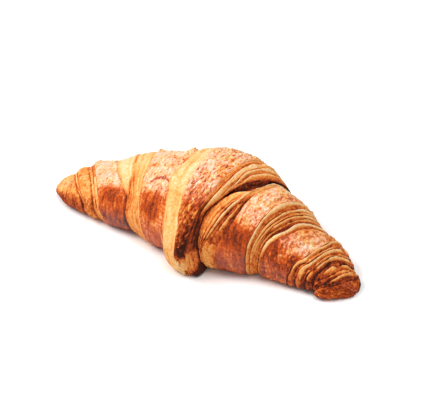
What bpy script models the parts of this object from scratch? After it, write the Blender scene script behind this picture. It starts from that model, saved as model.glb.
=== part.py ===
"""A butter croissant, baked as one piece.

The dough is a long triangle of thin layers, rolled from its base to its point, so the outside is a row of
wraps: the widest in the middle, and each next one stepping down towards a tip.  The solid is lofted through
rings of points that follow those steps, and its underside is cut flat where it sat on the baking tray.

Frame: X runs from the left tip to the right tip, +Z is up, and -Y is the front, where the point of the dough
triangle comes down.  The origin is on the flat underside, in the middle of the bounding box.
"""

import math

import bmesh
import bpy

MM = 0.001

# Driving dimensions.
LENGTH = 165 * MM
STATIONS = 13  # evenly spaced from tip to tip
HEIGHTS = [8, 17, 24, 31, 36, 42, 44, 43.5, 42, 36, 26, 15, 8]
WIDTHS = [13, 28, 36, 41, 47, 53, 61, 63, 54, 42, 34, 29, 15]
BOW = 3 * MM  # how far the tips come forward of the middle
SIDE_LEVEL = 0.45  # height of the widest level, as a share of the height
UNDER_DEPTH = 1.3  # lower half of a ring, as a share of the widest level's height, before the base is cut
TIP_ROUNDING = 26  # power of the curve that rounds the two blunt tips
TIP_REACH = 0.995  # the last ring, as a share of the half length

# The folds of the wraps, from the left tip to the right tip.  Each runs round the roll as a helix: it lies at
# "far" behind the croissant and at "near" in front, and it swings over at "turn" degrees from the top, within
# about "spread" degrees.  "rise" is how far it stands out of the mean surface: a lip is above it, and the
# crease at the foot of the lip is below it.  All but the angles are in millimetres.
FOLDS = [
    # far, near, turn, spread, rise
    (-79, -50, 42, 60, -1.0),  # crease beside the left tip
    (-76, -50.6, 42, 60, 0.6),  # lip
    (-71, -48, 40, 60, -1.2),  # crease
    (-68, -41, 32, 60, 1.3),  # lip
    (-52, -26, 37, 38, -1.6),  # crease
    (-34, -12, 25, 70, 1.4),  # lip
    (-12, -1, 60, 45, -2.0),  # crease at the left of the middle wrap
    (-12, 7, 0, 60, 2.0),  # left lip of the middle wrap
    (19, 13, 0, 60, 2.6),  # right lip of the middle wrap
    (43, 15.5, 10, 42, -3.0),  # crease at the right of the middle wrap
    (56, 34, 0, 80, 1.8),  # lip
    (63, 40, 3, 72, -1.8),  # crease
    (67, 50, 85, 60, 1.3),  # lip
    (73, 58, 55, 70, -1.2),  # crease
    (78, 64, 40, 50, 0.8),  # lip
    (80, 68, 60, 40, -0.8),  # crease beside the right tip
]
FADE = 12  # folds die out within one part in this many of the half length from a tip

# The point of the dough triangle hangs down the front of the middle wrap and is tucked under it.
TAIL_RISE = 5 * MM
TAIL_ALONG = (-5 * MM, 0, 13 * MM, 18 * MM)
TAIL_ROUND = (55, 100, 165, 200)

# Sampling.
POINTS_ROUND = 40
RINGS_PER_FOLD = 4
SEEN = 150  # degrees from the top, each way, in which the folds follow their helix; below it they close up

CRUST_COLOUR = (0.60, 0.27, 0.08, 1)
CRUST_ROUGHNESS = 0.45


def smooth_step(low, high, value):
    share = min(max((value - low) / (high - low), 0), 1)
    return share * share * (3 - 2 * share)


def window(value, edges):
    """1 between the two middle edges, falling to 0 at the two outer ones."""
    return smooth_step(edges[0], edges[1], value) * (1 - smooth_step(edges[2], edges[3], value))


def station_value(values, share):
    """A smooth curve through the evenly spaced stations, by cubic Hermite spans; share is -1 to 1."""
    place = (share + 1) / 2 * (STATIONS - 1)
    first = min(int(place), STATIONS - 2)
    t = place - first
    before = values[max(first - 1, 0)]
    start, end = values[first], values[first + 1]
    after = values[min(first + 2, STATIONS - 1)]
    slope_in, slope_out = (end - before) / 2, (after - start) / 2
    return (
        start * (1 + 2 * t) * (1 - t) ** 2
        + end * t * t * (3 - 2 * t)
        + slope_in * t * (1 - t) ** 2
        - slope_out * t * t * (1 - t)
    ) * MM


def helix(far, near, turn, spread, angle):
    """Where a fold lies along X at an angle from the top, which runs from -SEEN to 360 - SEEN degrees."""

    def swung(degrees):
        return far + (near - far) * (1 + math.tanh((degrees - turn) / spread)) / 2

    closing = smooth_step(SEEN, 360 - SEEN, angle)
    return ((1 - closing) * swung(min(angle, SEEN)) + closing * swung(-SEEN)) * MM


def surface_point(x, rise, angle):
    """The point of the crust at x, standing out by rise, at an angle from the top (+90 is the front)."""
    share = x / (LENGTH / 2)
    rounding = math.sqrt(1 - abs(share) ** TIP_ROUNDING)
    height = station_value(HEIGHTS, share) * rounding
    half_width = station_value(WIDTHS, share) / 2 * rounding
    rise *= min((1 - abs(share)) * FADE, 1)
    rise += TAIL_RISE * window(x, TAIL_ALONG) * window(angle, TAIL_ROUND)
    level = SIDE_LEVEL * height
    cosine, sine = math.cos(math.radians(angle)), math.sin(math.radians(angle))
    half_height = height - level if cosine > 0 else UNDER_DEPTH * level
    y = -BOW * (share * share - 1 / 3) - (half_width + rise) * sine
    return x, y, level + (half_height + rise) * cosine


def ring_places():
    """(where, rise) of every ring: where is a function of the angle, and the rings step evenly between folds."""
    reach = TIP_REACH * LENGTH / 2

    def fold(number):
        if number < 0:
            return (lambda angle: -reach), 0
        if number == len(FOLDS):
            return (lambda angle: reach), 0
        *shape, rise = FOLDS[number]
        return (lambda angle: helix(*shape, angle)), rise * MM

    for number in range(-1, len(FOLDS)):
        (left, left_rise), (right, right_rise) = fold(number), fold(number + 1)
        for step in range(RINGS_PER_FOLD):
            share = step / RINGS_PER_FOLD

            def between(angle, share=share, left=left, right=right):
                return (1 - share) * left(angle) + share * right(angle)

            yield between, (1 - share) * left_rise + share * right_rise
    yield fold(len(FOLDS))


def add_ring(mesh, where, rise):
    """One closed ring of points round the roll, and its edges."""
    angles = [-SEEN + 360 * n / POINTS_ROUND for n in range(POINTS_ROUND)]
    points = [mesh.verts.new(surface_point(where(angle), rise, angle)) for angle in angles]
    return [mesh.edges.new((points[n - 1], points[n])) for n in range(POINTS_ROUND)]


def cut_base(mesh):
    """Cuts the underside off at the tray and closes it with one flat face."""
    everything = mesh.verts[:] + mesh.edges[:] + mesh.faces[:]
    bmesh.ops.bisect_plane(mesh, geom=everything, plane_co=(0, 0, 0), plane_no=(0, 0, -1), clear_outer=True)
    rim = [edge for edge in mesh.edges if edge.is_boundary]
    bmesh.ops.contextual_create(mesh, geom=rim)


def centre_on_origin(mesh):
    """Slides the mesh along the tray until its bounding box stands centred on the origin."""
    for axis in (0, 1):
        places = [vertex.co[axis] for vertex in mesh.verts]
        slide = [0, 0, 0]
        slide[axis] = -(min(places) + max(places)) / 2
        bmesh.ops.translate(mesh, verts=mesh.verts[:], vec=slide)


def crust_material():
    material = bpy.data.materials.new("baked_crust")
    material.use_nodes = True
    shader = material.node_tree.nodes["Principled BSDF"]
    shader.inputs["Base Color"].default_value = CRUST_COLOUR
    shader.inputs["Roughness"].default_value = CRUST_ROUGHNESS
    shader.inputs["Metallic"].default_value = 0
    return material


def make_croissant():
    mesh = bmesh.new()
    rings = [add_ring(mesh, where, rise) for where, rise in ring_places()]
    for left, right in zip(rings, rings[1:]):
        bmesh.ops.bridge_loops(mesh, edges=left + right)
    for end in (rings[0], rings[-1]):
        bmesh.ops.contextual_create(mesh, geom=end)
    cut_base(mesh)
    centre_on_origin(mesh)
    bmesh.ops.recalc_face_normals(mesh, faces=mesh.faces[:])

    data = bpy.data.meshes.new("croissant")
    mesh.to_mesh(data)
    mesh.free()
    data.shade_smooth()
    data.set_sharp_from_angle(angle=math.radians(40))
    data.materials.append(crust_material())
    croissant = bpy.data.objects.new("croissant", data)
    bpy.context.scene.collection.objects.link(croissant)


for old in list(bpy.data.objects):
    bpy.data.objects.remove(old)
make_croissant()
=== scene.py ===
"""A butter croissant: its two arms and its middle wrap of layered dough, on a pale floor in soft light."""

import math

import bpy
import numpy as np
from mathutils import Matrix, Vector


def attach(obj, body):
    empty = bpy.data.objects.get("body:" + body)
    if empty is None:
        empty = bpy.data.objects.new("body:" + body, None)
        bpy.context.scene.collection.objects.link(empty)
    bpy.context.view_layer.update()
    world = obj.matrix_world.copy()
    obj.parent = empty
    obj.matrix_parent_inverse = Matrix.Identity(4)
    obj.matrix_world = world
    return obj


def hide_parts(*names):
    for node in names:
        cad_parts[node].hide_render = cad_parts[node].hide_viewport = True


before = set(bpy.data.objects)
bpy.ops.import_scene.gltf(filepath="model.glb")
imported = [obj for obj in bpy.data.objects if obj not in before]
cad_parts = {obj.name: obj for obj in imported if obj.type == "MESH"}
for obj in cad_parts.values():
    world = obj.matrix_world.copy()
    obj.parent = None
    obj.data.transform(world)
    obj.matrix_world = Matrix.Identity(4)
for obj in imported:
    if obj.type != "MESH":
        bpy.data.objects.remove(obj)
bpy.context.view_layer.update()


# The right arm: wraps of butter-layered dough that step down from the middle of the roll to the right tip.
# Each is a washed, blistered skin up to its lip; past it the cut edge shows the layers as pale ridges, down
# to the crease where the next wrap comes out.  It was rolled up from a triangle, so every fold is a helix.

# Sizes are in millimetres until a mesh is made.  A place on the roll is its x, from tip to tip, and its
# angle in degrees from the top: 90 is the front and -90 the back.
HALF_LENGTH = 82.5
# The roll's height and width at evenly spaced stations from tip to tip:
STATION_HEIGHTS = np.array([6.5, 16, 23, 30, 35, 40, 42.5, 42, 40.5, 34.5, 24, 14, 5.5])
STATION_WIDTHS = np.array([13, 27, 35, 38.5, 45, 51, 60, 60, 50, 39.5, 32.5, 29, 15])
BOW = 3.0  # how far the tips come forward of the middle
SIDE_LEVEL = 0.45  # height of the widest level, as a share of the height
UNDER_DEPTH = 1.3  # lower half of a ring, as a share of the widest level's height, before it is pressed flat
TIP_ROUNDING = 26  # power of the curve that rounds the blunt tips
TIP_GAP = 0.05  # between the last ring and the very end, where a ring would shrink to a point
TIP_LIFT = 2.0  # how far the left tip curls up off the tray
LIFT_START = -72  # the x at which it starts to curl up
PRESS = 1.5  # how softly the underside turns into the flat
MIDDLING_RADIUS = 26.0  # of the roll, for distances round it
SEEN = 150.0  # degrees each way in which folds follow their helix; under the roll they close up
SEEN_ANGLES = np.linspace(-SEEN, SEEN, 261)
UNDER_ANGLES = np.linspace(SEEN, 360 - SEEN, 30)[1:-1]
ANGLES = np.concatenate([SEEN_ANGLES, UNDER_ANGLES])
AROUND = np.radians(ANGLES) * MIDDLING_RADIUS  # distance from the top line
CELLS = 128  # each way in a grid of random values, which repeats beyond them
CELL_AT_ZERO = 40  # the cell in which a distance of 0 falls


def ease(low, high, value):
    """0 at low and past it, 1 at high and past it, joined by the smooth cubic 3t^2 - 2t^3.

    low may be the larger of the two.
    """
    share = np.clip((value - low) / (high - low), 0, 1)
    return share * share * (3 - 2 * share)


def window(value, opens, opened, closes, closed):
    """1 from opened to closes, easing to 0 outside opens and closed."""
    return ease(opens, opened, value) * (1 - ease(closes, closed, value))


def by_angle(back, front, turns, turned):
    """A value for each angle: back up to the angle turns, easing to front at the angle turned."""
    return back + (front - back) * ease(turns, turned, ANGLES)


def rumple(along, around, grain, seed):
    """Smooth random heights from -1 to 1: random values on a grid, joined by the smooth cubic each way.

    grain is the size of a cell along the roll and round it.
    """
    lattice = np.random.default_rng(seed).uniform(-1, 1, (CELLS, CELLS))
    u, v = along / grain[0] + CELL_AT_ZERO, around / grain[1] + CELL_AT_ZERO
    column, row = np.floor(u).astype(int), np.floor(v).astype(int)
    s, t = u - column, v - row
    s, t = s * s * (3 - 2 * s), t * t * (3 - 2 * t)

    def corner(right, up):
        """The random value at a corner of each point's cell."""
        return lattice[(column + right) % CELLS, (row + up) % CELLS]

    low = corner(0, 0) * (1 - s) + corner(1, 0) * s
    high = corner(0, 1) * (1 - s) + corner(1, 1) * s
    return low * (1 - t) + high * t


def uneven_angle(x):
    """The angle plus a coarse and a fine random shift of a few degrees, so that a browning line wanders."""
    return ANGLES + 5 * rumple(x, AROUND, (3.2, 9), 95) + 2.5 * rumple(x, AROUND, (1.1, 4), 96)


def drawn_fold(seed, *points):
    """The x of an irregular fold at each angle, through a few (angle, x) points, with a waver of its own.

    Between two points it is a cubic whose slope at a point is the harmonic mean of the slopes on its two
    sides, or 0 where they differ in sign, so that it never overshoots.  The waver is a coarse and a fine
    rumple round the roll.  Under the roll the fold closes up, easing back to where it began.
    """
    angles, places = np.array(points, float).T
    steps = np.diff(angles)
    slopes = np.diff(places) / steps
    product = slopes[:-1] * slopes[1:]
    total = np.where(product > 0, slopes[:-1] + slopes[1:], 1)
    tangents = np.concatenate([[0], np.where(product > 0, 2 * product / total, 0), [0]])
    seen = np.clip(ANGLES, angles[0], angles[-1])
    first = np.clip(np.searchsorted(angles, seen, side="right") - 1, 0, len(steps) - 1)
    t = (seen - angles[first]) / steps[first]
    curve = (
        places[first] * (1 + 2 * t) * (1 - t) ** 2
        + places[first + 1] * t * t * (3 - 2 * t)
        + tangents[first] * steps[first] * t * (1 - t) ** 2
        - tangents[first + 1] * steps[first] * t * t * (1 - t)
    )
    waver = 0.3 * rumple(0, AROUND, (1, 13), seed) + 0.12 * rumple(0, AROUND, (1, 3.5), seed + 1)
    waver = waver * (1 - ease(SEEN - 30, SEEN, np.abs(ANGLES)))
    closing = ease(SEEN, 360 - SEEN, ANGLES)
    return (1 - closing) * (curve + waver) + closing * places[0]


def station_curve(values, share):
    """A Catmull-Rom curve through evenly spaced values; share runs from -1 at the first to 1 at the last."""
    place = (share + 1) / 2 * (len(values) - 1)
    first = np.clip(place.astype(int), 0, len(values) - 2)
    t = place - first
    start, end = values[first], values[first + 1]
    slope_in = (end - values[np.maximum(first - 1, 0)]) / 2
    slope_out = (values[np.minimum(first + 2, len(values) - 1)] - start) / 2
    return (
        start * (1 + 2 * t) * (1 - t) ** 2
        + end * t * t * (3 - 2 * t)
        + slope_in * t * (1 - t) ** 2
        - slope_out * t * t * (1 - t)
    )


def distance_round(x):
    """Distance round the roll from its top line: the angle in radians times half the roll's width at x."""
    return AROUND * station_curve(STATION_WIDTHS, x / HALF_LENGTH) / (2 * MIDDLING_RADIUS)


def blisters(along, around, size, seed):
    """Round bubbles, 1 at the middle of each and 0 between them.

    Every cell of a grid holds one bubble at a random place and of a random radius; a point takes the highest
    parabola 1 - (distance / radius)^2 among the bubbles of its own cell and the eight around it.
    """
    random = np.random.default_rng(seed)
    places = random.uniform(0.15, 0.85, (CELLS, CELLS, 2))
    radii = random.uniform(0.25, 0.85, (CELLS, CELLS))
    u, v = along / size + CELL_AT_ZERO, around / size + CELL_AT_ZERO
    column, row = np.floor(u).astype(int), np.floor(v).astype(int)
    highest = np.zeros(np.broadcast(u, v).shape)
    for right in (-1, 0, 1):
        for up in (-1, 0, 1):
            i, j = (column + right) % CELLS, (row + up) % CELLS
            off_u = column + right + places[i, j, 0] - u
            off_v = row + up + places[i, j, 1] - v
            highest = np.maximum(highest, 1 - (off_u**2 + off_v**2) / radii[i, j] ** 2)
    return highest


def spot(x, at_x, at_angle, half_x, half_angle):
    """A soft patch, 1 at its middle: a Gaussian hill over x and angle."""
    return np.exp(-(((x - at_x) / half_x) ** 2) - ((ANGLES - at_angle) / half_angle) ** 2)


def line(x, place, half):
    """1 on the curve whose x at each angle is place, falling off as a Gaussian over half."""
    return np.exp(-(((x - place) / half) ** 2))


def stretch(rows, left, right, from_right=False):
    """(x, share) over evenly spaced rows from left up to right, where the next stretch starts.

    The share grows evenly from 0 at the left fold to 1 at the right one, or the other way round if asked.
    """
    share = (np.arange(rows) / rows)[:, None] * np.ones_like(ANGLES)
    x = (1 - share) * left + share * right
    return x, 1 - share if from_right else share


DARKEST_SPECK = 0.88  # no speck of a skin bakes darker than this where the skin round it is paler


def skin(rows, left, right, rises, belly, bake, seed, roughness=1.0, flaky=1.0, gloss=1.0):
    """The washed outside of a wrap between two folds, as (x, rise, bake, wash).

    It runs straight from one rise to the other and swells by belly times a half sine in between.  On it lie
    blisters, raised golden flakes and thin cracks that slant across the roll, all stronger where roughness
    is larger, and a shallow rumple.  Flakes are paler by the amount flaky and cracks darker, both less so
    where the skin is dark, and no speck goes past DARKEST_SPECK.  The browning is streaked round the roll
    and deeper on its back.  The wash, times gloss, is thin but for a thick band on the shoulder and a lesser
    one low in front.
    """
    x, share = stretch(rows, left, right)
    edge = window(share, 0, 0.05, 0.95, 1)
    around = distance_round(x)
    slanted = x + 0.3 * around
    bubbled = 0.5 * blisters(x, around, 3.4, seed) + 0.3 * blisters(x, around, 1.8, seed + 1)
    flake = ease(0.05, 0.55, rumple(slanted, around, (0.8, 1.2), seed + 2))
    crack = ease(0.2, 0, np.abs(rumple(slanted, around, (1.1, 3.0), seed + 3)))
    fine_crack = ease(0.25, 0, np.abs(rumple(slanted, around, (0.7, 1.3), seed + 4)))
    rumpled = 0.4 * rumple(x, around, (6, 10), seed + 5)
    rise = rises[0] * (1 - share) + rises[1] * share + belly * np.sin(np.pi * share)
    rise = rise + edge * rumpled
    rise = rise + edge * roughness * (0.45 * bubbled + 0.36 * flake - 0.36 * crack - 0.22 * fine_crack)
    streaks = 0.09 * rumple(x, around, (1.1, 8), seed + 6) + 0.07 * rumple(x, around, (0.6, 4), seed + 7)
    mottle = 0.09 * rumple(x, around, (3, 5), seed + 8)
    tone = bake(x) + 0.36 * ease(34, 76, -ANGLES)
    speckled = (0.34 * crack + 0.26 * fine_crack) * np.clip(1.3 - 1.4 * tone, 0.15, 1)
    speckled = speckled - 0.22 * flaky * flake * np.clip(1.6 - tone, 0.4, 1)
    browned = tone + streaks + mottle + edge * roughness * speckled
    browned = np.minimum(browned, np.maximum(tone, DARKEST_SPECK))
    wash = by_angle(0.06, 0.15, -75, -15) + 0.85 * window(uneven_angle(x), 5, 28, 42, 53)
    wash = wash + 0.35 * ease(78, 98, ANGLES)
    return x, rise, browned, gloss * wash


LAYER_WASH = 0.05  # the trace of wash that runs over a cut edge
ALL_ROUND = (-SEEN, SEEN)


def layers(rows, left, right, rises, ridges, tone, seed, lip_right=False, fineness=9, rough=1.0):
    """The cut edge of the dough from its lip down to a crease, as (x, rise, bake, wash).

    It goes from one rise to the other by a power of the share, a little slower at the lip.

    Each ridge is the edge of one layer, given as its share of the way from lip to crease, half its width as
    a share, its height, how much paler it is, and its back and front angles.  It rises from a line of
    painted shade, which is a Gaussian across the fold, as a quarter circle to its crest, and falls away
    slowly toward the crease.  It wanders, swells and breaks off along the fold, and dies out beyond its two
    angles.  Between the ridges lies the darker tone, which deepens at the lip and behind the roll, and
    toward the crease, where the darkening is painted shade.  Long fibres and slits follow the fold, deeper
    where rough is larger and finer where fineness is.  Low on the front the ridges are pressed flat and
    baked nearly as dark as the rest.
    """
    x, share = stretch(rows, left, right, lip_right)
    around = distance_round(x)
    rise = rises[0] + (rises[1] - rises[0]) * share**1.2
    stand = np.zeros_like(x)
    paleness = np.zeros_like(x)
    shade = np.zeros_like(x)
    pressed = 1 - 0.7 * ease(62, 100, ANGLES)
    low_front = 1 - 0.85 * ease(52, 92, ANGLES)
    # Each ridge reads the random grids along rows of its own.
    for number, (place, half, height, pale, back, front) in enumerate(ridges):
        wander = 0.4 * half * rumple(number * 7.3, AROUND, (9, 15), seed + 10 + number)
        swell = 1 + 0.5 * rumple(number * 3.1, AROUND, (9, 8), seed + 30 + number)
        off = (share - place - wander) / (half * swell)
        whole = ease(-0.8, -0.4, rumple(number * 5.7, AROUND, (9, 11), seed + 70 + number))
        shown = window(ANGLES, back - 18, back, front, front + 18) * whole
        steep = np.sqrt(np.clip(1 - off * off, 0, 1))
        slow = np.clip(1 - off / 2.4, 0, 1) ** 1.4
        crest = np.where(off < 0, steep, slow)
        stand = np.maximum(stand, height * crest * shown * pressed)
        paleness = np.maximum(paleness, 1.3 * pale * ease(0.3, 0.85, crest) * shown * low_front)
        # The line before each crest is painted shade in the groove below the ridge.
        shade = np.maximum(shade, 0.6 * pale * line(off, -1.4, 0.55) * shown)
    along_fold = share * fineness
    coarse = rumple(along_fold, around, (0.9, 11), seed + 50)
    fibre = 0.6 * coarse + 0.4 * rumple(along_fold, around, (0.4, 5), seed + 51)
    slit = ease(0.22, 0, np.abs(rumple(along_fold, around, (1.3, 9), seed + 52)))
    ragged = rumple(x, around, (0.8, 1.3), seed + 53)
    rise = rise + stand + rough * (0.24 * fibre - 0.3 * slit + 0.10 * ragged)
    browned = tone + shade - paleness
    browned = browned - min(rough, 1) * (0.14 * fibre - 0.17 * slit) - 0.06 * rough * ragged
    browned = browned + 0.12 * ease(48, 76, -ANGLES)
    # Darker toward the crease: painted shade.
    browned = browned + 0.18 * ease(0.88, 1, share) + 0.12 * ease(0.3, 0.9, share)
    browned = browned + 0.16 * (1 - ease(0, 0.05, share))
    return x, rise, browned, np.full_like(x, LAYER_WASH)


def tucked(rows, left, right, rises, bake_and_shade_tones):
    """A plain stretch that is hidden, or lies in the shade, under the next wrap, as (x, rise, bake, wash).

    Its rise and its tone run straight from one end to the other, and the tone is faintly mottled.  The tones
    given are darker where the stretch lies deeper under the next wrap: partly a deep bake and partly painted
    shade.
    """
    x, share = stretch(rows, left, right)
    rise = rises[0] * (1 - share) + rises[1] * share
    # Darker deeper under the next wrap: partly deep bake, partly painted shade.
    tone = bake_and_shade_tones[0] * (1 - share) + bake_and_shade_tones[1] * share
    return x, rise, tone + 0.06 * rumple(x, AROUND, (0.8, 4), 90), np.zeros_like(x)


def crust_points(x, rise):
    """Points at x and at each angle, standing out of the mean roll by rise.

    The roll's height and width are curves through the stations, times a root that rounds the tips.  A ring
    is an upper and a lower half-ellipse that meet at the widest level; what would lie below the tray is
    pressed up to it by a parabola that blends the side into the flat.  The tips bow forward by a parabola
    along x, and the left one lifts.
    """
    share = np.clip(x / HALF_LENGTH, -1, 1)
    rounding = np.sqrt(1 - np.abs(share) ** TIP_ROUNDING)
    height = station_curve(STATION_HEIGHTS, share) * rounding
    half_width = station_curve(STATION_WIDTHS, share) / 2 * rounding
    level = SIDE_LEVEL * height
    lift = TIP_LIFT * ease(LIFT_START, -HALF_LENGTH, x)
    cosine, sine = np.cos(np.radians(ANGLES)), np.sin(np.radians(ANGLES))
    half_height = np.where(cosine > 0, height - level, UNDER_DEPTH * level)
    y = -BOW * (share * share - 1 / 3) - (half_width + rise) * sine
    z = level + (half_height + rise) * cosine
    pressed = (z + PRESS) ** 2 / (4 * PRESS)
    z = np.where(z < -PRESS, 0, np.where(z > PRESS, z, pressed)) + lift
    return np.stack([x, y, z], axis=-1)


MILLIMETRES = 1000  # in a metre, the unit of a mesh


def crust_mesh(name, stretches):
    """A closed mesh over stretches of the roll: a ring of points for each row, and a point at each end.

    Its UV map unrolls the crust: U is the distance along the roll and V the distance round it, in metres.
    """
    x, rise, bake, wash = (np.concatenate(parts) for parts in zip(*stretches))
    points = crust_points(x, rise) / MILLIMETRES
    rows, columns = x.shape
    ends = points[[0, -1]].mean(axis=1)
    vertices = np.concatenate([points.reshape(-1, 3), ends])
    across = np.arange(columns)
    row, column = np.meshgrid(np.arange(rows - 1), across, indexing="ij")
    here, there = row * columns + column, row * columns + (column + 1) % columns
    quads = np.stack([here, here + columns, there + columns, there], axis=-1).reshape(-1, 4)
    beyond = (across + 1) % columns
    last = (rows - 1) * columns
    left_cap = np.stack([across, beyond, np.full(columns, rows * columns)], axis=-1)
    right_cap = np.stack([last + beyond, last + across, np.full(columns, rows * columns + 1)], axis=-1)
    corners = np.concatenate([quads.ravel(), left_cap.ravel(), right_cap.ravel()])
    counts = np.concatenate([np.full(len(quads), 4), np.full(2 * columns, 3)])

    mesh = bpy.data.meshes.new(name)
    mesh.vertices.add(len(vertices))
    mesh.vertices.foreach_set("co", vertices.ravel())
    mesh.loops.add(len(corners))
    mesh.loops.foreach_set("vertex_index", corners)
    mesh.polygons.add(len(counts))
    mesh.polygons.foreach_set("loop_start", np.cumsum(counts) - counts)
    mesh.update(calc_edges=True)
    for label, values in (("bake", bake), ("wash", wash)):
        spread = np.concatenate([values.ravel(), values[[0, -1]].mean(axis=1)])
        mesh.attributes.new(label, "FLOAT", "POINT").data.foreach_set("value", spread)

    turned = np.radians(np.append(ANGLES, ANGLES[0] + 360)) * (MIDDLING_RADIUS / MILLIMETRES)
    corner_rows = np.stack([row, row + 1, row + 1, row], axis=-1).reshape(-1, 4)
    corner_columns = np.stack([column, column, column + 1, column + 1], axis=-1).reshape(-1, 4)
    along = points[corner_rows, corner_columns % columns, 0]
    quad_places = np.stack([along, turned[corner_columns]], axis=-1).reshape(-1, 2)
    cap_places = np.stack([vertices[corners[quads.size:], 0], np.zeros(6 * columns)], axis=-1)
    layer = mesh.uv_layers.new(name="unrolled")
    layer.uv.foreach_set("vector", np.concatenate([quad_places, cap_places]).ravel())
    mesh.shade_smooth()
    mesh.validate()
    piece = bpy.data.objects.new(name, mesh)
    bpy.context.scene.collection.objects.link(piece)
    return piece


class Amount:
    """A value in a material that may vary over the crust.  Arithmetic on it adds Math nodes."""

    def __init__(self, recipe, socket):
        self.recipe, self.socket = recipe, socket

    def worked(self, operation, *others):
        """The result of one Math node on the given values."""
        return self.recipe.node("ShaderNodeMath", {"operation": operation}, *others).out("Value")

    def __add__(self, other):
        return self.worked("ADD", self, other)

    def __sub__(self, other):
        return self.worked("SUBTRACT", self, other)

    def __rsub__(self, other):
        return self.worked("SUBTRACT", other, self)

    def __mul__(self, other):
        return self.worked("MULTIPLY", self, other)

    __radd__, __rmul__ = __add__, __mul__

    def clipped(self, low, high):
        """The value, kept between low and high."""
        return self.worked("MAXIMUM", self.worked("MINIMUM", self, high), low)


class Step:
    """One node of a recipe; out gives one of its outputs."""

    def __init__(self, recipe, node):
        self.recipe, self.made = recipe, node

    def out(self, name):
        """The output of that name, as an Amount."""
        return Amount(self.recipe, self.made.outputs[name])


class Recipe:
    """The node tree of a material or a world, with one method that adds any node to it."""

    def __init__(self, owner):
        owner.use_nodes = True
        self.tree = owner.node_tree
        self.tree.nodes.clear()

    def feed(self, socket, value):
        """Links a socket to an Amount, or sets it to a plain value."""
        if isinstance(value, Amount):
            self.tree.links.new(value.socket, socket)
        else:
            socket.default_value = value

    def node(self, kind, settings=(), *in_order, **by_name):
        """Adds a node: its settings first, then the values or links of its sockets, by order or by name.

        A setting named stops holds a colour ramp's (position, colour) pairs.
        """
        made = self.tree.nodes.new(kind)
        for name, value in dict(settings).items():
            if name == "stops":
                ramp = made.color_ramp.elements
                while len(ramp) < len(value):
                    ramp.new(1)
                for stop, (position, colour) in zip(ramp, value):
                    stop.position, stop.color = position, (*colour, 1)
            else:
                setattr(made, name, value)
        for socket, value in zip(made.inputs, in_order):
            self.feed(socket, value)
        for name, value in by_name.items():
            self.feed(made.inputs[name.replace("_", " ")], value)
        return Step(self, made)

    def noise(self, place, scale, detail):
        """Cloudy random values round 0.5, with so many cells to the unit and so many finer octaves."""
        made = self.node("ShaderNodeTexNoise", {}, Vector=place, Scale=scale, Detail=detail, Roughness=0.6)
        return made.out("Fac")

    def mixed(self, share, first, second):
        """A blend of two colours, all first at share 0 and all second at share 1.

        A Mix node has sockets for every kind of value: these are its share, its two colours and its result.
        """
        made = self.node("ShaderNodeMix", {"data_type": "RGBA"}).made
        for number, value in ((0, share), (6, first), (7, second)):
            self.feed(made.inputs[number], value)
        return Amount(self, made.outputs[2])


BAKED_COLOURS = [  # from a browning of 0 to 1
    (0.0, (0.84, 0.64, 0.41)),  # the cream of a layer that barely took colour
    (0.20, (0.82, 0.47, 0.20)),
    (0.40, (0.76, 0.31, 0.075)),  # gold
    (0.58, (0.64, 0.155, 0.018)),
    (0.72, (0.50, 0.072, 0.007)),  # orange-brown
    (0.86, (0.27, 0.036, 0.006)),
    (1.0, (0.055, 0.011, 0.005)),  # the dark brown of an edge that caught
]
# A pinkish bloom of washed pale dough, partly painted sheen of the glossy wash.
BLUSH_AND_SHEEN_COLOUR = (0.87, 0.52, 0.40, 1)  # a pinkish bloom
DRY_COLOUR = (0.78, 0.43, 0.13, 1)  # a yellow gold


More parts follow.
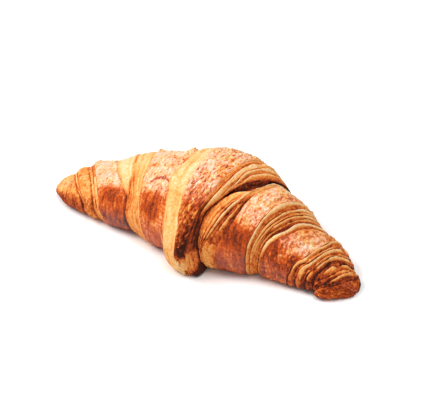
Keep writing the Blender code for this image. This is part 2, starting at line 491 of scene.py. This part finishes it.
def baked_crust():
    """Baked dough, coloured by its bake and glossed by its wash.

    The browning is the bake plus fine grain, less of it where the dough is dark, soft clouds, and fibres
    pulled round the roll.  Washed pale dough blushes pink in patches, partly its own colour and partly a
    painted sheen of the wash, and unwashed dough dries to a yellow gold.
    The washed skins are glossier under a thin coat, the cut layers dull and finely streaked.
    """
    material = bpy.data.materials.new("baked_crust")
    crust = Recipe(material)
    bake = crust.node("ShaderNodeAttribute", {"attribute_name": "bake"}).out("Fac")
    wash = crust.node("ShaderNodeAttribute", {"attribute_name": "wash"}).out("Fac")
    place = crust.node("ShaderNodeTexCoord").out("Object")
    unrolled = crust.node("ShaderNodeUVMap", {"uv_map": "unrolled"}).out("UV")
    pulled = crust.node("ShaderNodeMapping", {}, Vector=unrolled, Scale=(1500.0, 160.0, 1.0)).out("Vector")
    grain = crust.noise(place, scale=900.0, detail=4.0)
    cloud = crust.noise(place, scale=260.0, detail=3.0)
    fibre = crust.noise(pulled, scale=1.0, detail=3.0)
    raw = 1 - wash

    browned = bake + (grain - 0.5) * (1.25 - 0.95 * bake) + (cloud - 0.5) * (0.20 * wash + 0.14)
    browned = browned + (fibre - 0.5) * (0.30 * raw + 0.10)
    ramp = crust.node("ShaderNodeValToRGB", {"stops": BAKED_COLOURS}, browned.clipped(0.0, 1.0))
    # Pink where the wash lies over pale dough, in patches: partly its own colour, partly painted sheen.
    blush_and_sheen = (wash * 20.0 - 2.0).clipped(0.0, 1.0) * (1.3 - browned * 2.0).clipped(0.0, 1.0)
    blush_and_sheen = blush_and_sheen * ((cloud - 0.42) * 7.0).clipped(0.0, 1.0) * 0.85
    colour = crust.mixed(blush_and_sheen, ramp.out("Color"), BLUSH_AND_SHEEN_COLOUR)
    dry = (1.6 - wash * 16.0).clipped(0.0, 1.0) * (0.85 - browned).clipped(0.0, 0.5) * 0.7
    colour = crust.mixed(dry, colour, DRY_COLOUR)
    height = grain * 0.5 + cloud * 0.5 + fibre * (0.2 + 0.5 * raw)
    relief = crust.node("ShaderNodeBump", {}, Strength=0.8, Distance=0.0004, Height=height).out("Normal")
    shader = crust.node(
        "ShaderNodeBsdfPrincipled",
        {},
        Base_Color=colour,
        Roughness=(0.70 - 0.24 * wash + (cloud - 0.5) * 0.25).clipped(0.25, 0.9),
        Specular_IOR_Level=0.1,
        Normal=relief,
        Coat_Weight=(wash * 1.1 - 0.1).clipped(0.0, 1.0),
        Coat_Roughness=0.27,
    ).out("BSDF")
    crust.node("ShaderNodeOutputMaterial", {}, Surface=shader)
    return material


MIDDLE_LIP = drawn_fold(  # where the middle wrap's skin ends
    1, (-150, 24), (-47, 19.5), (-20, 17.5), (6, 16), (24, 15), (38, 13.5), (50, 12), (72, 11.5), (150, 10.5)
)
MIDDLE_RIM = drawn_fold(  # where its cut edge ends, overhanging the hollow
    3, (-150, 35), (-49, 36.5), (-22, 31.2), (-8, 28.2), (8, 24.6), (22, 20.8), (37, 17.8), (56, 14.6),
    (96, 14.2), (112, 14), (126, 14.8), (140, 14), (150, 13)
)
HOLLOW_LINE = drawn_fold(  # where the next wrap comes out of the hollow
    5, (-150, 38), (-50, 37.6), (-22, 33), (-6, 31.6), (4, 30.5), (13, 27.8), (22, 22.4), (34, 18.5),
    (56, 14.6), (150, 12.5)
)
TEAR_START = drawn_fold(  # where that wrap's torn flake splits from its skin
    7, (-150, 42), (-50, 39), (-20, 35), (0, 32.4), (12, 30), (24, 27.8), (40, 25.2), (55, 22.8), (70, 20.5),
    (90, 16.8), (150, 15)
)
TEAR_END = drawn_fold(  # where its skin begins
    9, (-150, 43), (-50, 40), (-20, 35.8), (0, 33.2), (22, 30), (36, 28.8), (50, 27.8), (67, 25.8),
    (80, 23.6), (109, 21.5), (150, 20)
)
LIP_1 = drawn_fold(  # where its skin ends
    11, (-150, 52), (-51, 48.2), (-18, 45.5), (6, 42.8), (26, 40.2), (58, 37.2), (94, 35.2), (150, 33)
)
RIM_2 = drawn_fold(  # the crease where the second wrap comes out
    13, (-150, 57), (-54, 57.2), (-16, 53), (3, 50.5), (30, 47.2), (54, 44), (74, 41.8), (99, 40), (150, 38)
)
BEAD_2 = RIM_2 + 3.0 - 1.5 * ease(20, 90, ANGLES)  # where the rolled rim of the second wrap ends
LIP_2 = drawn_fold(  # where the second wrap's skin ends
    15, (-150, 68), (-30, 64.5), (2, 63), (22, 62), (44, 60), (68, 56.5), (106, 53.5), (150, 52)
)
CREASE_3 = drawn_fold(  # where the third wrap comes out
    17, (-150, 78), (-40, 75.5), (-20, 73), (-2, 70.8), (17, 69), (38, 67.5), (55, 66.8), (81, 66.4),
    (150, 66)
)
TIP_FOLD = drawn_fold(  # where the crumpled tip starts
    19, (-150, 81), (-9, 79.8), (30, 77.5), (50, 76), (69, 72.5), (86, 68.8), (110, 67.4), (150, 67)
)
TIP = np.full_like(ANGLES, HALF_LENGTH - TIP_GAP)

TORN = window(ANGLES, 14, 28, 78, 100)  # the angles at which the tear is open
OPEN = window(ANGLES, -28, -8, 12, 26)  # the angles at which the hollow is open
HOLLOW = HOLLOW_LINE + 0.9 * OPEN * rumple(0, AROUND, (1, 2.6), 47)  # torn where it is open
HOLLOW_RISE = -1.0  # of the next wrap where it comes out
BURIED = -4.4 + 2.8 * ease(20, 36, ANGLES)  # rise of the dough that lies under the middle wrap
LIP_1_RISE = by_angle(1.6, 0.2, 66, 106)  # less low in front
BACK_DIP = by_angle(-1.2, 0, -44, -16)  # the wrap sits lower behind
TEAR_RISES = 0.2 - 0.6 * TORN + BACK_DIP, 0.2 - 1.0 * TORN + BACK_DIP


def right_bake_1(x):
    """Golden on top, browner in steps down the front, with a deep patch there and a darker lip."""
    turn = uneven_angle(x)
    browned = 0.33 + 0.10 * ease(20, 34, turn) + 0.27 * ease(42, 62, turn) + 0.05 * ease(84, 104, ANGLES)
    return browned + 0.28 * spot(x, 29, 71, 6, 12) + 0.08 * ease(-3, 0, x - LIP_1)


def slant_of(x):
    """Distance across a pale streak that slants down the second wrap: x less a straight line in angle."""
    return x - 62 + 0.20 * ANGLES


def right_bake_2(x):
    """Browner down the front and beside its rolled rim, with a pale slanting streak and a deep patch."""
    browned = 0.48 + 0.28 * ease(28, 58, uneven_angle(x)) + 0.06 * (1 - ease(0, 2.5, x - BEAD_2))
    streak = 0.3 * line(slant_of(x), 2, 1.2) * window(ANGLES, 0, 15, 70, 90)
    return browned - streak + 0.1 * spot(x, 50, 75, 5, 20)


def right_tip_bake(x):
    """Dark all round, mottled, and a little paler on top."""
    return 0.78 - 0.08 * window(ANGLES, -40, -10, 20, 50) + 0.10 * rumple(x, AROUND, (2.2, 3), 186)


right_arm = crust_mesh(
    "right_wraps",
    [
        # Under the middle wrap and in the hollow the dark tones are partly deep bake, partly painted shade.
        tucked(3, MIDDLE_RIM - 14, MIDDLE_RIM - 7, (-9, BURIED - 2), (0.9, 0.9)),
        tucked(4, MIDDLE_RIM - 7, MIDDLE_RIM - 0.8, (BURIED - 2, BURIED), (0.9, 0.88)),
        tucked(8, MIDDLE_RIM - 0.8, HOLLOW, (BURIED, HOLLOW_RISE), (0.88, 0.76)),
        layers(
            38,
            HOLLOW,
            TEAR_START,
            (HOLLOW_RISE, TEAR_RISES[0]),
            [
                (0.16, 0.14, 0.7, 0.34, *ALL_ROUND),
                (0.50, 0.14, 0.8, 0.32, -SEEN, 8),
                (0.40, 0.08, 0.7, 0.18, 30, 70),
                (0.62, 0.08, 0.8, 0.20, 20, SEEN),
                (0.86, 0.08, 1.2, 0.44, 14, 70),
            ],
            tone=0.44 + 0.15 * ease(16, 46, ANGLES) - 0.16 * ease(92, 108, ANGLES),
            seed=100,
            fineness=6,
        ),
        layers(
            18,
            TEAR_START,
            TEAR_END,
            TEAR_RISES,
            [(0.50, 0.10, 0.9, 0.30, 40, 66)],
            tone=0.42 + 0.30 * TORN,
            seed=105,
            fineness=4,
            rough=1.6,
        ),
        skin(
            50,
            TEAR_END,
            LIP_1,
            (TEAR_RISES[1], LIP_1_RISE),
            belly=0.5,
            bake=right_bake_1,
            seed=110,
            roughness=by_angle(1.0, 0.6, 50, 70),
            flaky=by_angle(1.0, 0.35, 40, 58),
        ),
        layers(
            56,
            LIP_1,
            RIM_2,
            (LIP_1_RISE, by_angle(-0.2, -1.7, -34, 6)),
            [
                (0.11, 0.08, 1.0, 0.42, *ALL_ROUND),
                (0.40, 0.05, 0.6, 0.36, *ALL_ROUND),
                (0.56, 0.04, 0.4, 0.26, *ALL_ROUND),
                (0.68, 0.045, 0.6, 0.38, *ALL_ROUND),
                (0.84, 0.04, 0.4, 0.26, *ALL_ROUND),
            ],
            tone=0.55 + 0.10 * window(ANGLES, -30, -6, 50, 70),
            seed=120,
        ),
        layers(
            16,
            RIM_2,
            BEAD_2,
            (-1.5, -0.1),
            [(0.40, 0.32, 1.5, 0.50, *ALL_ROUND)],
            tone=0.62,
            seed=130,
            fineness=4,
        ),
        skin(38, BEAD_2, LIP_2, (-0.1, 0.9), belly=0.3, bake=right_bake_2, seed=140, flaky=0.8),
        layers(
            48,
            LIP_2,
            CREASE_3,
            (0.9, -0.7),
            [
                (0.08, 0.06, 0.7, 0.40, *ALL_ROUND),
                (0.27, 0.04, 0.4, 0.22, *ALL_ROUND),
                (0.42, 0.07, 0.9, 0.44, *ALL_ROUND),
                (0.62, 0.04, 0.4, 0.22, *ALL_ROUND),
                (0.78, 0.07, 1.0, 0.44, *ALL_ROUND),
            ],
            tone=0.68 + 0.08 * ease(30, 60, ANGLES),
            seed=150,
            rough=1.4,
        ),
        layers(
            38,
            CREASE_3,
            TIP_FOLD,
            (-0.9, 0.1),
            [
                (0.20, 0.08, 1.0, 0.32, -SEEN, 30),
                (0.46, 0.05, 0.6, 0.20, -SEEN, 34),
                (0.66, 0.07, 0.9, 0.30, -SEEN, 38),
            ],
            tone=0.76 + 0.08 * ease(30, 56, ANGLES),
            seed=160,
            fineness=6,
            rough=2.0,
        ),
        skin(
            26,
            TIP_FOLD,
            TIP,
            (0.4 + 0.8 * ease(50, 100, ANGLES), 0.0),
            belly=0.4,
            bake=right_tip_bake,
            seed=180,
            roughness=1.6,
            flaky=0.2,
            gloss=0.4,
        ),
    ],
)
crust_material = baked_crust()
right_arm.data.materials.append(crust_material)
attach(right_arm, "root")
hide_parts("croissant")


# The left arm: the same baked dough, stepping down to the left tip in four smaller wraps.  Going out from
# the middle, each shows its washed skin first and then its cut edge, finely streaked, which runs down into
# the crease where the next wrap comes out.  The first cut edge keeps a wedge of cream-coloured dough.
CREASE_L1 = drawn_fold(  # where the first wrap comes out from under the middle one
    21, (-150, -14), (-22, -10), (0, -8.2), (14, -8.4), (28, -9.6), (39, -8.4), (56, -6.4), (83, -4.2),
    (150, -3.5)
)
LIP_L1 = drawn_fold(  # where that wrap's skin ends
    23, (-150, -36), (-17, -29.8), (10, -26.2), (34, -23.5), (65, -20.8), (90, -18.8), (150, -16)
)
CREASE_L2 = drawn_fold(  # where the second wrap comes out
    25, (-150, -62), (-28, -52), (18, -43.2), (33, -39.2), (46, -35.2), (58, -31.8), (66, -30.2), (84, -30),
    (150, -29)
)
LIP_L2 = drawn_fold(  # where its skin ends
    27, (-150, -72), (-16, -63.5), (14, -57), (36, -51.8), (56, -48.2), (74, -46), (107, -44), (150, -43.5)
)
CREASE_L3 = drawn_fold(  # where the third wrap comes out
    29, (-150, -74), (-14, -66), (28, -58.5), (46, -54.8), (64, -52), (80, -50.8), (150, -50)
)
LIP_L3 = drawn_fold(  # where its skin ends
    31, (-150, -76), (-10, -71.5), (26, -66.2), (47, -61.5), (65, -57.4), (82, -54.6), (150, -54)
)
CREASE_L4 = drawn_fold(  # where the tip comes out
    33, (-150, -78), (-10, -73.5), (20, -69.5), (40, -65.8), (58, -62.5), (76, -58.8), (96, -57),
    (150, -56.5)
)
LEFT_TIP = -TIP
WEDGE_EDGE = drawn_fold(  # the right side of the cream wedge
    35, (-150, -48), (-14, -39.2), (8, -36.2), (22, -33.5), (33, -31.8), (44, -31), (57, -29.5), (150, -25)
)


def left_bake_1(x):
    """Pale on top, browner in steps down the front to a deep patch, with a dark nick on top by the crease.

    A thin brown arch, a Gaussian about a parabola in x, outlines the upper end of its glossy patch, and low
    on the front it is paler beside the crease.
    """
    turn = uneven_angle(x)
    browned = 0.22 + 0.08 * ease(14, 30, turn) + 0.28 * ease(40, 54, turn) + 0.18 * ease(80, 104, ANGLES)
    arch = window(x, -20, -18.5, -10, -9) * np.exp(-(((ANGLES - 31 - 0.22 * (x + 13) ** 2) / 2.0) ** 2))
    deep = 0.32 * spot(x, -14, 67, 4.5, 15)
    nick = 0.5 * spot(x, -9, -3, 1.5, 6)
    return browned + 0.55 * arch + deep + nick - 0.16 * ease(-8.5, -6, x) * ease(50, 70, ANGLES)


def tufted(parts):
    """Adds to the first wrap two torn flakes that stand up behind its top, and two dips: all soft spots."""
    x, rise, bake, wash = parts
    tufts = 2.2 * spot(x, -11.4, -24, 2.6, 11) + 1.3 * spot(x, -30.4, -28, 1.2, 6)
    return x, rise + tufts - 1.2 * spot(x, -7, -8, 2, 14) - 0.8 * spot(x, -19, -25, 7, 22), bake, wash


def left_bake_2(x):
    """Pale on top, browner down the front with a deep patch there, and darker into its crease, as painted
    shade.
    """
    browned = 0.22 + 0.37 * ease(40, 54, uneven_angle(x)) + 0.3 * ease(-2.2, 0, x - CREASE_L2)
    return browned + 0.24 * ease(74, 100, ANGLES) + 0.30 * spot(x, -40.5, 64, 5.5, 15)


def left_bake_3(x):
    """Golden, browner down the front, and darker into its crease, as painted shade."""
    return 0.42 + 0.20 * ease(40, 80, ANGLES) + 0.25 * ease(-1.5, 0, x - CREASE_L3)


def left_tip_bake(x):
    """Golden on top, dark brown low on the front, darker at the very tip, and darker into its crease as
    painted shade.
    """
    browned = 0.34 + 0.46 * ease(52, 84, ANGLES) + 0.14 * ease(-79, -82, x)
    return browned + 0.22 * ease(-1.8, 0, x - CREASE_L4)


def wedge(parts):
    """Adds to the first cut edge a cream wedge up to WEDGE_EDGE, a brown line beside it and two blotches."""
    x, rise, bake, wash = parts
    cream = (1 - ease(-0.8, 0.2, x - WEDGE_EDGE)) * (1 - ease(46, 60, ANGLES))
    edge_line = line(x, WEDGE_EDGE + 0.6, 0.8) * (1 - ease(46, 64, ANGLES))
    blotch = spot(x, -29.5, 36, 2.2, 11) + 0.6 * spot(x, -27, 60, 2, 14)
    return x, rise + 0.5 * cream, bake - 0.34 * cream + 0.2 * edge_line + 0.2 * blotch, wash


left_arm = crust_mesh(
    "left_wraps",
    [
        skin(
            44,
            LEFT_TIP,
            CREASE_L4,
            (0, -0.5),
            belly=0.3,
            bake=left_tip_bake,
            seed=200,
            roughness=0.7,
            flaky=0.5,
            gloss=0.12,
        ),
        layers(
            20,
            CREASE_L4,
            LIP_L3,
            (0.4, -0.5),
            [(0.45, 0.35, 0.4, 0.26, *ALL_ROUND)],
            tone=0.60,
            seed=210,
            lip_right=True,
            fineness=3,
        ),
        skin(
            26,
            LIP_L3,
            CREASE_L3,
            (by_angle(1.0, 0.4, -20, 20), -0.6),
            belly=0.2,
            bake=left_bake_3,
            seed=220,
            roughness=0.6,
            gloss=0.1,
        ),
        layers(
            28,
            CREASE_L3,
            LIP_L2,
            (1.0, -0.7),
            [(0.3, 0.22, 0.4, 0.3, *ALL_ROUND), (0.75, 0.18, 0.4, 0.26, *ALL_ROUND)],
            tone=0.58,
            seed=230,
            lip_right=True,
            fineness=5,
        ),
        skin(
            54,
            LIP_L2,
            CREASE_L2,
            (by_angle(1.9, 1.0, -30, 10), -0.9),
            belly=0.3,
            bake=left_bake_2,
            seed=240,
            roughness=by_angle(1.1, 0.55, 45, 65),
            flaky=by_angle(0.9, 0.3, 40, 60),
        ),
        wedge(
            layers(
                72,
                CREASE_L2,
                LIP_L1,
                (1.2, -1.0),
                [
                    (0.08, 0.06, 0.4, 0.10, *ALL_ROUND),
                    (0.22, 0.07, 0.5, 0.14, *ALL_ROUND),
                    (0.36, 0.06, 0.5, 0.10, *ALL_ROUND),
                    (0.52, 0.07, 0.4, 0.12, *ALL_ROUND),
                ],
                tone=0.34 + 0.12 * ease(15, 50, ANGLES),
                seed=250,
                lip_right=True,
                fineness=11,
                rough=0.8,
            )
        ),
        tufted(
            skin(
                56,
                LIP_L1,
                CREASE_L1,
                (1.2, -0.6),
                belly=0.4,
                bake=left_bake_1,
                seed=260,
                roughness=by_angle(1.15, 0.55, 45, 65),
                flaky=by_angle(0.9, 0.3, 38, 55),
            )
        ),
        tucked(8, CREASE_L1, CREASE_L1 + 8, (-0.6, -6), (0.5, 0.8)),
    ],
)
left_arm.data.materials.append(crust_material)
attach(left_arm, "root")
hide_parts("croissant")


# The middle wrap: the last turn of the same dough, the widest and roughest.  Its left edge is a broad
# unwashed band, its right edge opens in thick layers over a hollow, and its point hangs down in front as a
# tail that is tucked under and burnt at the foot.
LIP_L0 = drawn_fold(  # where the unwashed band meets the washed skin
    41, (-150, -5), (-30, -1), (0, 0.4), (30, 1.6), (50, 3), (60, 3.8), (72, 5.6), (92, 6), (150, 7)
)
BAND_LINE = drawn_fold(43, (-150, -10), (7, -4.2), (29, -2.5), (40, -0.8), (60, 1.4), (150, 2))
TAIL_END = 97.0  # degrees from the top at which the washed skin runs out
RIM_RISE = by_angle(0.5, -0.3, -40, -10) - 0.6 * ease(15, 40, ANGLES)
WALL_FOOT = MIDDLE_RIM - 2.5 + 4.9 * OPEN  # where the wall under the rim ends, inside the hollow
WALL_DEPTH = -4.0 + 1.0 * OPEN


def tail(x):
    """How far the hanging point stands out: a low hill along x, a window round the front, and a foot."""
    hanging = 5.0 * window(x, -5, 0.5, 5, 19) * window(ANGLES, 55, 100, 165, 200)
    foot = 4.4 * spot(x, 14.5, 125, 3.2, 9)
    return hanging + foot


def middle_bake(x):
    """Golden on top with a pale patch, browner in steps down the front to a dark spot above the bare point.

    Toward the lip it is darker, a little all round and more in front, where the darkening is painted shade
    beside the cut edge; below TAIL_END the dough is nearly raw.
    """
    turn = uneven_angle(x)
    browned = 0.32 + 0.34 * ease(18, 44, turn) + 0.16 * ease(50, 76, turn)
    browned = browned - 0.10 * spot(x, 3, 14, 4, 22) + 0.22 * spot(x, 11, 93, 5, 6)
    # Darker toward the lip: a little all round, and more in front as painted shade beside the cut edge.
    lip_browning_and_shade = (0.06 + 0.14 * ease(50, 66, ANGLES)) * ease(-3.5, -1, x - MIDDLE_LIP)
    bare = -0.74 * ease(TAIL_END - 3, TAIL_END + 5, turn)
    return browned + lip_browning_and_shade + bare


def with_tail(parts):
    """Adds the hanging point and a burnt spot at its foot, and thins the wash in front, up to TAIL_END."""
    x, rise, bake, wash = parts
    burnt = 0.95 * spot(x, 14.8, 126, 3.3, 7)
    washed = (1 - ease(TAIL_END - 4, TAIL_END + 6, ANGLES)) * (1 - 0.7 * ease(32, 44, ANGLES))
    return x, rise + tail(x), bake + burnt, wash * washed


def banded(parts):
    """Adds a faint yellow groove to the unwashed band, along BAND_LINE."""
    x, rise, bake, wash = parts
    yellow = line(x, BAND_LINE, 0.9) * window(ANGLES, -10, 10, 60, 80)
    return x, rise - 0.3 * yellow, bake + 0.14 * yellow, wash


middle_wrap = crust_mesh(
    "middle_wrap",
    [
        tucked(6, CREASE_L1 + 5, CREASE_L1, (-7, -0.9), (0.8, 0.55)),
        tucked(4, CREASE_L1, CREASE_L1 + 0.4, (-0.9, 0.6), (0.55, 0.3)),
        with_tail(
            banded(
                layers(
                    52,
                    CREASE_L1 + 0.4,
                    LIP_L0,
                    (1.9, 0.6),
                    [(0.22, 0.2, 0.4, 0.08, *ALL_ROUND), (0.74, 0.2, 0.4, 0.08, *ALL_ROUND)],
                    tone=0.15 + 0.10 * ease(24, 50, ANGLES),
                    seed=300,
                    lip_right=True,
                    fineness=5,
                    rough=0.85,
                )
            )
        ),
        with_tail(
            skin(
                96,
                LIP_L0,
                MIDDLE_LIP,
                (1.9, 2.2),
                belly=0.4,
                bake=middle_bake,
                seed=310,
                roughness=1.6,
                flaky=by_angle(1.0, 0.3, 92, 104),
            )
        ),
        with_tail(
            layers(
                84,
                MIDDLE_LIP,
                MIDDLE_RIM,
                (2.2, RIM_RISE),
                [
                    (0.06, 0.04, 0.5, 0.20, -SEEN, 30),
                    (by_angle(0.36, 0.68, -5, 42), by_angle(0.10, 0.2, 0, 45), 1.5, 0.34, -SEEN, 48),
                    (by_angle(0.42, 0.70, -5, 22), 0.03, 0.4, 0.20, -SEEN, 6),
                    (by_angle(0.55, 0.88, -5, 25), 0.06, 1.0, 0.42, -SEEN, 20),
                    (by_angle(0.80, 0.94, -5, 12), 0.045, 0.9, 0.30, -SEEN, 8),
                ],
                # Darker down the front of the cut edge: painted shade on its face.
                tone=0.54 + 0.34 * window(ANGLES, 34, 52, 88, 102),
                seed=320,
            )
        ),
        # The wall under the rim: its dark tone is partly deep bake and partly painted shade in the hollow.
        layers(
            24,
            MIDDLE_RIM,
            WALL_FOOT,
            (RIM_RISE, WALL_DEPTH),
            [(0.35, 0.14, 0.6, 0.06, -24, 6), (0.7, 0.12, 0.5, 0.03, -10, 20)],
            tone=0.92,
            seed=330,
            fineness=3,
            rough=1.6,
        ),
        tucked(6, WALL_FOOT, WALL_FOOT - 5, (WALL_DEPTH, -9), (0.92, 0.95)),
    ],
)
middle_wrap.data.materials.append(crust_material)
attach(middle_wrap, "root")
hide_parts("croissant")


# The floor: a flat sheet of matt white paper that lies under the croissant and reaches far beyond it.  Sizes
# are in metres from here on.
FLOOR_REACH = 3.0  # from the middle of the sheet to each edge
floor_corners = [
    (-FLOOR_REACH, -FLOOR_REACH, 0),
    (FLOOR_REACH, -FLOOR_REACH, 0),
    (FLOOR_REACH, FLOOR_REACH, 0),
    (-FLOOR_REACH, FLOOR_REACH, 0),
]
floor_mesh = bpy.data.meshes.new("floor")
floor_mesh.from_pydata(floor_corners, [], [(0, 1, 2, 3)])
floor = bpy.data.objects.new("floor", floor_mesh)
bpy.context.scene.collection.objects.link(floor)
white_paper = bpy.data.materials.new("white_paper")
paper = Recipe(white_paper)
dull = paper.node("ShaderNodeBsdfPrincipled", {}, Base_Color=(0.9, 0.9, 0.9, 1), Roughness=0.9).out("BSDF")
paper.node("ShaderNodeOutputMaterial", {}, Surface=dull)
floor_mesh.materials.append(white_paper)


# The light: a soft box above, to the left and in front, a weaker one nearly overhead, and a white surround
# that dims toward the horizon, though the horizon itself is seen white.
LAMP_DISTANCE = 1.0
LAMP_SIZE = 0.4


def soft_box(name, toward, power):
    """A square lamp at LAMP_DISTANCE from the origin along the given direction, facing the origin."""
    lamp = bpy.data.lights.new(name, "AREA")
    lamp.shape, lamp.size, lamp.energy = "SQUARE", LAMP_SIZE, power
    holder = bpy.data.objects.new(name, lamp)
    direction = Vector(toward).normalized()
    holder.location = direction * LAMP_DISTANCE
    holder.rotation_euler = direction.to_track_quat("Z", "Y").to_euler()
    bpy.context.scene.collection.objects.link(holder)


soft_box("key", (-0.52, -0.36, 0.78), 6.9)
soft_box("top", (0.20, -0.25, 0.95), 4.3)
studio = bpy.data.worlds.new("studio")
room = Recipe(studio)
direction = room.node("ShaderNodeSeparateXYZ", {}, room.node("ShaderNodeTexCoord").out("Generated"))
overhead = direction.out("Z").clipped(0.0, 1.0)
seen = room.node("ShaderNodeLightPath").out("Is Camera Ray")
strength = 0.22 + 0.55 * overhead + 0.7 * seen * (1 - overhead)
glow = room.node("ShaderNodeBackground", {}, (1, 1, 1, 1), strength)
room.node("ShaderNodeOutputWorld", {}, glow.out("Background"))
bpy.context.scene.world = studio
bpy.context.scene.view_settings.view_transform = "Standard"


# The camera looks down on the croissant from the front, turned toward its right tip, through a long lens.
AZIMUTH, ELEVATION, DISTANCE = math.radians(29.9), math.radians(35), 0.6
AIM_HEIGHT, AIM_RIGHT, AIM_DOWN = 0.020, 0.0039, 0.0032
FOCAL_LENGTH, FILM_WIDTH = 108.9, 36  # in millimetres
outward = Vector(
    (
        math.sin(AZIMUTH) * math.cos(ELEVATION),
        -math.cos(AZIMUTH) * math.cos(ELEVATION),
        math.sin(ELEVATION),
    )
)
rightward = Vector((math.cos(AZIMUTH), math.sin(AZIMUTH), 0))
upward = outward.cross(rightward)
aim = Vector((0, 0, AIM_HEIGHT)) + rightward * AIM_RIGHT - upward * AIM_DOWN
lens = bpy.data.cameras.new("camera")
lens.lens = FOCAL_LENGTH
lens.sensor_width = FILM_WIDTH
camera = bpy.data.objects.new("camera", lens)
camera.location = aim + outward * DISTANCE
camera.rotation_euler = outward.to_track_quat("Z", "Y").to_euler()
bpy.context.scene.collection.objects.link(camera)
bpy.context.scene.camera = camera
